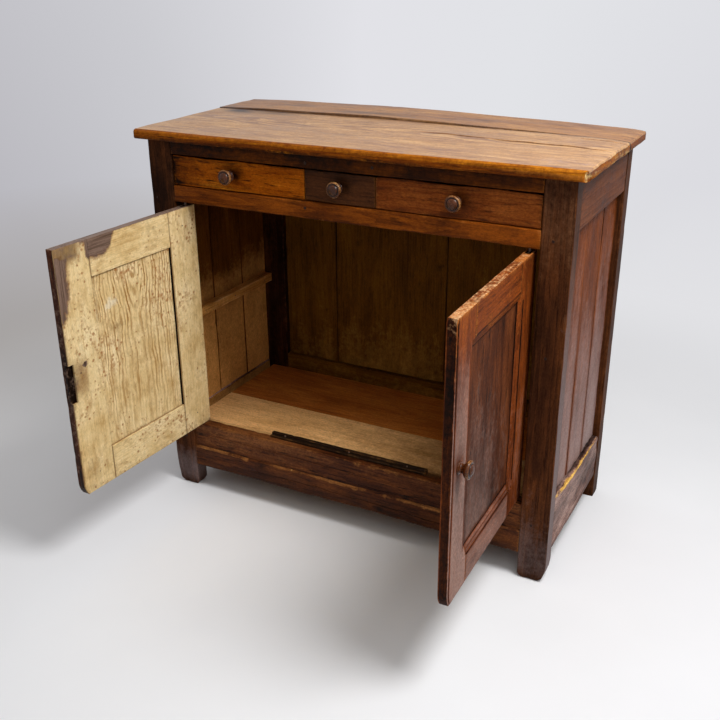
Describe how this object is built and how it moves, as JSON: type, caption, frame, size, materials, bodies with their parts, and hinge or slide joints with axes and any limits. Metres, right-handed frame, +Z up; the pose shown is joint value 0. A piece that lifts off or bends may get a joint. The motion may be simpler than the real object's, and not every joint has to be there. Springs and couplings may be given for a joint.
{
  "type": "sideboard",
  "caption": "Country sideboard: joined wooden case with a plank top, a row of drawers with turned knobs over a cupboard with framed panel doors on pivot pins.",
  "frame": {"origin": "middle of the footprint of the whole object with its doors open as pictured, on the floor", "axes": "+X to the right along the front, +Y to the back, +Z up"},
  "size_m": [1.114, 0.936, 0.982],
  "materials": {
    "top": "waxed, worn, satin",
    "top_back": "dark stained, worn",
    "post": "dark stained, polished by wear",
    "rail": "stained, worn edges",
    "base": "dark stained, chipped",
    "side": "stained, weathered low down",
    "inside": "bare aged wood",
    "floor_pale": "bare newer plank",
    "floor_red": "bare aged wood",
    "stop": "nearly black strip",
    "cream": "cream paint with painted graining inside, brown stain outside",
    "door": "mahogany brown stain, worn",
    "drawer_light": "waxed, streaked",
    "drawer_dark": "dark stain",
    "drawer_mid": "waxed stain",
    "pine": "bare softwood",
    "knob": "turned, waxed, worn rim",
    "iron": "dull wrought iron"
  },
  "bodies": {
    "case": {"top_board_front": "top", "top_board_back": "top_back", "post_front_left": "post", "post_front_right": "post", "post_rear_left": "post", "post_rear_right": "post", "top_rail_front": "rail", "drawer_rail_front": "rail", "bottom_rail_front": "base", "side_top_rail_left": "side", "side_top_rail_right": "side", "side_bottom_rail_left": "side", "side_bottom_rail_right": "side", "side_panel_left": "side", "side_panel_right": "side", "back_top_rail": "inside", "back_bottom_rail": "inside", "back_panel": "inside", "shelf_cleat_left": "inside", "shelf_cleat_right": "inside", "drawer_deck": "inside", "drawer_partition_left": "inside", "drawer_partition_right": "inside", "floor_board_front": "floor_pale", "floor_board_back": "floor_red", "door_stop": "stop"},
    "door_left": {"door_left_stile_hinge": "cream", "door_left_stile_lock": "cream", "door_left_rail_top": "cream", "door_left_rail_bottom": "cream", "door_left_panel": "cream", "door_left_knob": "knob", "door_left_pivot_top": "iron", "door_left_pivot_bottom": "iron"},
    "door_right": {"door_right_stile_hinge": "door", "door_right_stile_lock": "door", "door_right_rail_top": "door", "door_right_rail_bottom": "door", "door_right_panel": "door", "door_right_knob": "knob", "door_right_pivot_top": "iron", "door_right_pivot_bottom": "iron"},
    "drawer_left": {"drawer_left_front": "drawer_light", "drawer_left_side_left": "pine", "drawer_left_side_right": "pine", "drawer_left_back": "pine", "drawer_left_bottom": "pine", "drawer_left_knob": "knob"},
    "drawer_centre": {"drawer_centre_front": "drawer_dark", "drawer_centre_side_left": "pine", "drawer_centre_side_right": "pine", "drawer_centre_back": "pine", "drawer_centre_bottom": "pine", "drawer_centre_knob": "knob"},
    "drawer_right": {"drawer_right_front": "drawer_mid", "drawer_right_side_left": "pine", "drawer_right_side_right": "pine", "drawer_right_back": "pine", "drawer_right_bottom": "pine", "drawer_right_knob": "knob"}
  },
  "joints": [
    {"name": "door_left_hinge", "type": "hinge", "parent": "case", "child": "door_left", "pos_m": [-0.4427, -0.02622, 0.50065], "axis": [0, 0, 1], "range_deg": [-27, 93]},
    {"name": "door_right_hinge", "type": "hinge", "parent": "case", "child": "door_right", "pos_m": [0.4427, -0.02622, 0.50065], "axis": [0, 0, 1], "range_deg": [-91, 29]},
    {"name": "drawer_left_slide", "type": "slide", "parent": "case", "child": "drawer_left", "axis": [0, -1, 0], "range_m": [0, 0.3]},
    {"name": "drawer_centre_slide", "type": "slide", "parent": "case", "child": "drawer_centre", "axis": [0, -1, 0], "range_m": [0, 0.3]},
    {"name": "drawer_right_slide", "type": "slide", "parent": "case", "child": "drawer_right", "axis": [0, -1, 0], "range_m": [0, 0.3]}
  ]
}
